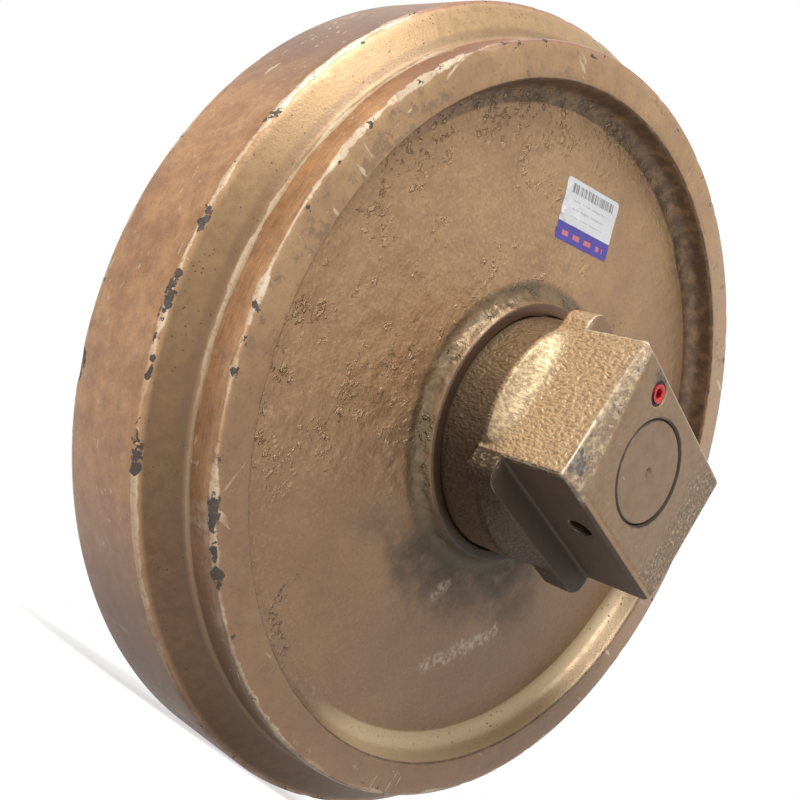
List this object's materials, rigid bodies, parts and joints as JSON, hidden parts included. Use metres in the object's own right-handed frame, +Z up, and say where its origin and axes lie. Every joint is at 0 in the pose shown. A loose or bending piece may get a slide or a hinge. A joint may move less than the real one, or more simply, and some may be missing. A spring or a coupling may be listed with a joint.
{
  "type": "front idler",
  "caption": "Front idler of a small crawler excavator: hollow cast wheel with a centre flange, turning on an axle between two guide brackets.",
  "frame": {"origin": "centre of the wheel, on the axle's axis", "axes": "+Y along the axle towards the right bracket, +Z up, +X back towards the tensioner yoke"},
  "size_m": [0.5399, 0.326, 0.54],
  "materials": {
    "wheel_paint": "bronze-brown paint on cast steel, rubbed at the edges",
    "bracket_paint": "bronze-gold paint on a grainy casting",
    "axle_paint": "painted end faces, ground steel inside",
    "bush_bronze": "turned bronze",
    "seal_iron": "lapped hard iron",
    "seal_rubber": "black nitrile rubber",
    "pin_steel": "ground steel",
    "plug_red": "red lacquered steel"
  },
  "bodies": {
    "brackets_and_axle": {"axle_shaft": "axle_paint", "oil_plug": "plug_red", "oil_plug_o_ring": "seal_rubber", "bracket_left": "bracket_paint", "lock_pin_left": "pin_steel", "axle_o_ring_left": "seal_rubber", "seal_ring_bracket_left": "seal_iron", "seal_toric_bracket_left": "seal_rubber", "bracket_right": "bracket_paint", "lock_pin_right": "pin_steel", "axle_o_ring_right": "seal_rubber", "seal_ring_bracket_right": "seal_iron", "seal_toric_bracket_right": "seal_rubber"},
    "wheel": {"idler_wheel": "wheel_paint", "bush_left": "bush_bronze", "seal_ring_hub_left": "seal_iron", "seal_toric_hub_left": "seal_rubber", "bush_right": "bush_bronze", "seal_ring_hub_right": "seal_iron", "seal_toric_hub_right": "seal_rubber"}
  },
  "joints": [
    {"name": "wheel_spin", "type": "hinge", "parent": "brackets_and_axle", "child": "wheel", "pos_m": [0, 0, 0], "axis": [0, 1, 0], "continuous": true}
  ]
}
